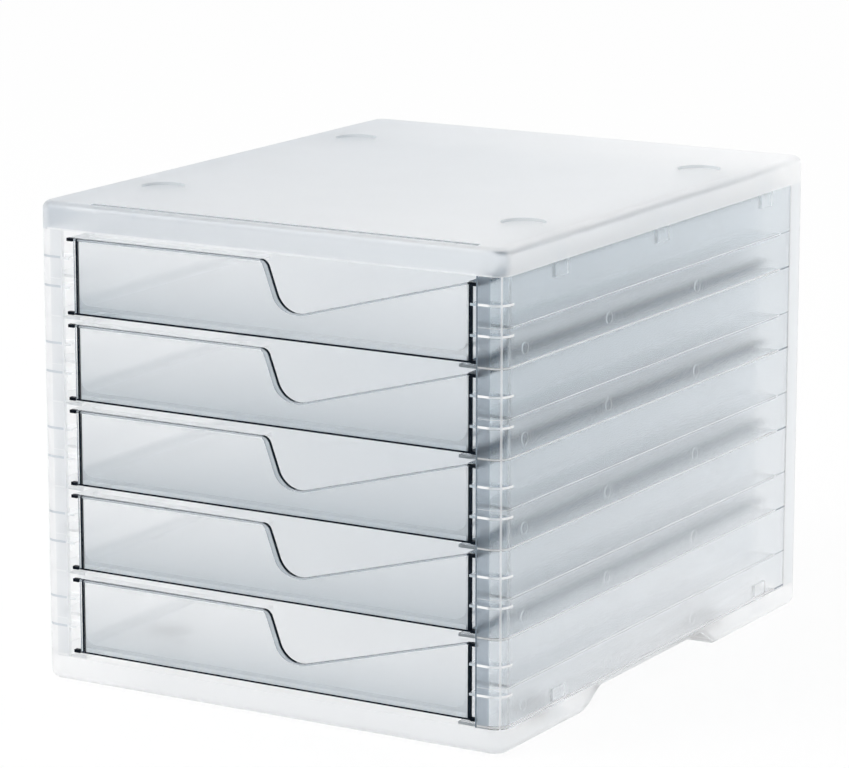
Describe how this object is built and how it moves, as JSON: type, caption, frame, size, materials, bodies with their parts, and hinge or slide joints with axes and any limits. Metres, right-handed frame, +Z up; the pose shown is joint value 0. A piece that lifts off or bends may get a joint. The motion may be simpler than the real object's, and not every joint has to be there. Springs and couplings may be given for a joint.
{
  "type": "drawer organizer",
  "caption": "Desktop drawer box: a frosted housing with full-depth clear pull-out trays for A4 paper, each with a curved finger cut in its front; stacks by pads and recesses.",
  "frame": {"origin": "on the floor plane of the pads, under the middle of the box", "axes": "+X to the right seen from the front, +Y to the back, +Z up; the trays pull out along -Y"},
  "size_m": [0.27, 0.33, 0.25],
  "materials": {
    "frosted_housing": "frosted translucent polystyrene, fine satin grain",
    "clear_tray": "crystal clear polished polystyrene",
    "pad_rubber": "pale grey translucent rubber, matt"
  },
  "bodies": {
    "housing": {"top_cover": "frosted_housing", "base": "frosted_housing", "left_side": "frosted_housing", "right_side": "frosted_housing", "back_wall": "frosted_housing", "pad_front_left": "pad_rubber", "pad_front_right": "pad_rubber", "pad_rear_left": "pad_rubber", "pad_rear_right": "pad_rubber"},
    "tray_1": {"drawer_1": "clear_tray"},
    "tray_2": {"drawer_2": "clear_tray"},
    "tray_3": {"drawer_3": "clear_tray"},
    "tray_4": {"drawer_4": "clear_tray"},
    "tray_5": {"drawer_5": "clear_tray"}
  },
  "joints": [
    {"name": "tray_1_slide", "type": "slide", "parent": "housing", "child": "tray_1", "axis": [0, -1, 0], "range_m": [0, 0.245]},
    {"name": "tray_2_slide", "type": "slide", "parent": "housing", "child": "tray_2", "axis": [0, -1, 0], "range_m": [0, 0.245]},
    {"name": "tray_3_slide", "type": "slide", "parent": "housing", "child": "tray_3", "axis": [0, -1, 0], "range_m": [0, 0.245]},
    {"name": "tray_4_slide", "type": "slide", "parent": "housing", "child": "tray_4", "axis": [0, -1, 0], "range_m": [0, 0.245]},
    {"name": "tray_5_slide", "type": "slide", "parent": "housing", "child": "tray_5", "axis": [0, -1, 0], "range_m": [0, 0.245]}
  ]
}
